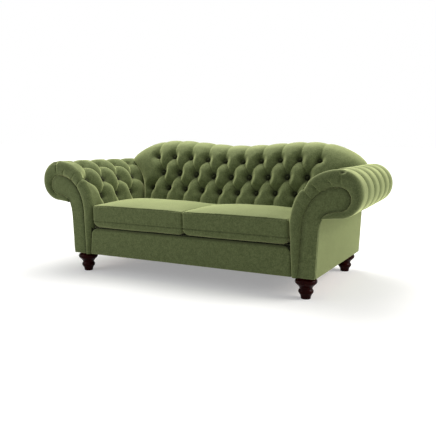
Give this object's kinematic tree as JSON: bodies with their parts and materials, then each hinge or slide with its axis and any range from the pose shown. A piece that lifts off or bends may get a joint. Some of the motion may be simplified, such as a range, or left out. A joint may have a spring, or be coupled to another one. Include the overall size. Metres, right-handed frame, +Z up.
{
  "type": "sofa",
  "caption": "Deep-buttoned scroll-arm sofa with a double-humped back, loose seat cushions and turned feet, on a timber frame.",
  "frame": {"origin": "on the floor, under the middle of the sofa", "axes": "+X along the sofa to the viewer's right, -Y the front, +Z up"},
  "size_m": [2.2728, 0.98, 0.8914],
  "materials": {
    "beech": "planed",
    "plywood": "sawn",
    "webbing": "woven elastic",
    "hessian": "coarse weave",
    "platform_cloth": "plain weave",
    "foam": "open cell foam",
    "bottom_cloth": "spun bonded",
    "velvet": "cut pile velvet",
    "button_velvet": "cut pile velvet",
    "mahogany": "dark polished lacquer",
    "zinc_steel": "zinc plated"
  },
  "bodies": {
    "sofa": {"front_rail": "beech", "rear_rail": "beech", "side_rail_left": "beech", "side_rail_right": "beech", "centre_rail": "beech", "corner_blocks": "beech", "arm_base_rail_left": "beech", "arm_base_rail_right": "beech", "arm_stay_rail_left": "beech", "arm_stay_rail_right": "beech", "arm_scroll_rail_left": "beech", "arm_scroll_rail_right": "beech", "arm_neck_rail_left": "beech", "arm_neck_rail_right": "beech", "back_outer_rib_left": "plywood", "back_outer_rib_right": "plywood", "back_inner_rib_left": "plywood", "back_inner_rib_right": "plywood", "back_top_rail": "plywood", "back_middle_rail": "plywood", "arm_front_board_left": "plywood", "arm_front_board_right": "plywood", "arm_rear_board_left": "plywood", "arm_rear_board_right": "plywood", "seat_webbing": "webbing", "back_lining": "hessian", "arm_lining_left": "hessian", "arm_lining_right": "hessian", "deck_cloth": "platform_cloth", "deck_pad": "foam", "dust_cover": "bottom_cloth", "front_border": "velvet", "back_pad": "velvet", "outside_back": "velvet", "arm_pad_left": "velvet", "arm_pad_right": "velvet", "arm_front_roll_left": "velvet", "arm_front_roll_right": "velvet", "arm_facing_left": "velvet", "arm_facing_right": "velvet", "outside_arm_left": "velvet", "outside_arm_right": "velvet", "back_buttons_lower": "button_velvet", "back_buttons_middle": "button_velvet", "back_buttons_upper": "button_velvet", "arm_buttons_left": "button_velvet", "arm_buttons_right": "button_velvet", "front_legs": "mahogany", "rear_legs": "mahogany", "leg_bolts": "zinc_steel"},
    "left_cushion": {"seat_cushion_cover_left": "velvet", "seat_cushion_core_left": "foam"},
    "right_cushion": {"seat_cushion_cover_right": "velvet", "seat_cushion_core_right": "foam"}
  },
  "joints": [
    {"name": "left_cushion_lift", "type": "slide", "parent": "sofa", "child": "left_cushion", "axis": [0, 0, 1], "range_m": [0, 0.35]},
    {"name": "right_cushion_lift", "type": "slide", "parent": "sofa", "child": "right_cushion", "axis": [0, 0, 1], "range_m": [0, 0.35]}
  ]
}
